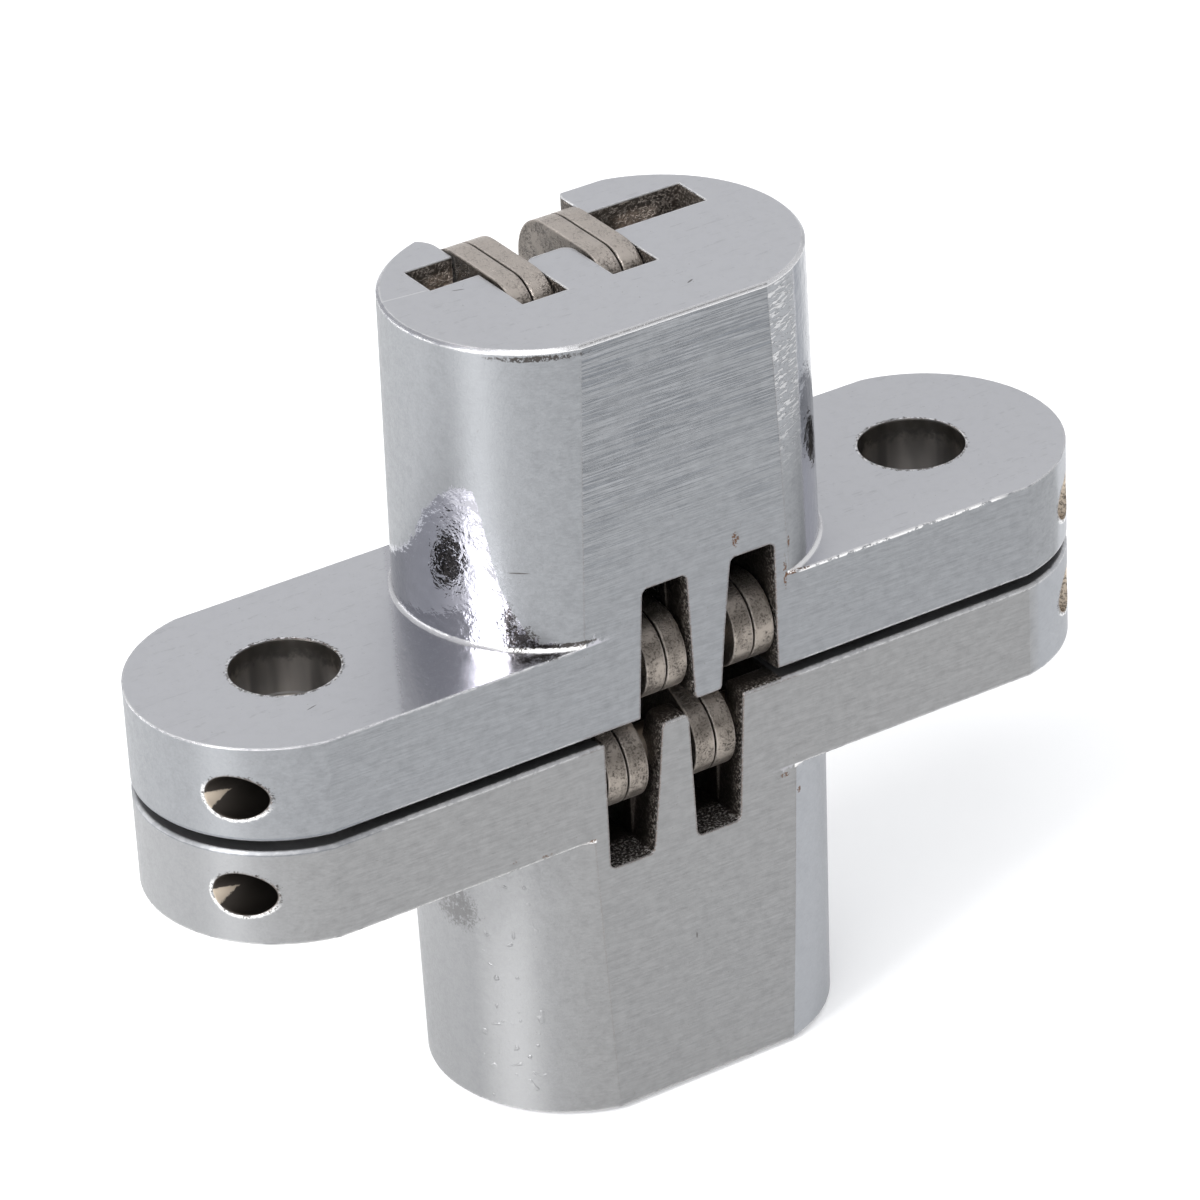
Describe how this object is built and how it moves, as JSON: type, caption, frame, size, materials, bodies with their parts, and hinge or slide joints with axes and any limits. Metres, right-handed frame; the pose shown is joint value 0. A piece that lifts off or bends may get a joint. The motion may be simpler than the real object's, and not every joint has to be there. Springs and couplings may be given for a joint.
{
  "type": "concealed invisible door hinge",
  "caption": "Concealed two-leaf hinge: two satin chrome cast leaves with bosses, joined by crescent scissor links that fold out at the front.",
  "frame": {"origin": "middle of the gap between the two leaves' meeting faces, which is the centre of the closed hinge", "axes": "+X along the leaves, -Y to the front where the links fold out, +Z from the lower leaf to the upper leaf"},
  "size_m": [0.046, 0.0126, 0.038],
  "materials": {
    "leaf_chrome": "satin chrome on a zinc casting, brushed flats",
    "link_steel": "tumbled stamped steel, warm grey",
    "pin_steel": "drawn steel wire"
  },
  "bodies": {
    "lower_leaf": {"lower_leaf": "leaf_chrome", "lower_pivot_pin": "pin_steel"},
    "lower_links": {"lower_link_1": "link_steel", "lower_link_2": "link_steel", "lower_link_3": "link_steel", "lower_link_4": "link_steel", "centre_pin": "pin_steel", "upper_slide_pin": "pin_steel"},
    "upper_links": {"upper_link_1": "link_steel", "upper_link_2": "link_steel", "upper_link_3": "link_steel", "upper_link_4": "link_steel", "lower_slide_pin": "pin_steel"},
    "upper_leaf": {"upper_leaf": "leaf_chrome", "upper_pivot_pin": "pin_steel"}
  },
  "joints": [
    {"name": "fold", "type": "hinge", "parent": "lower_leaf", "child": "lower_links", "pos_m": [0, -0.00435, -0.00235], "axis": [1, 0, 0], "range_deg": [0, 140]},
    {"name": "scissor", "type": "hinge", "parent": "lower_links", "child": "upper_links", "pos_m": [0, 0.00013, 0], "axis": [1, 0, 0], "range_deg": [-101.03, 0]},
    {"name": "swing", "type": "hinge", "parent": "upper_links", "child": "upper_leaf", "pos_m": [0, -0.00435, 0.00235], "axis": [1, 0, 0], "range_deg": [0, 140.05]}
  ],
  "couplings": [
    {"joint": "scissor", "follows": "fold", "ratio": -0.7213},
    {"joint": "swing", "follows": "fold", "ratio": 1}
  ]
}
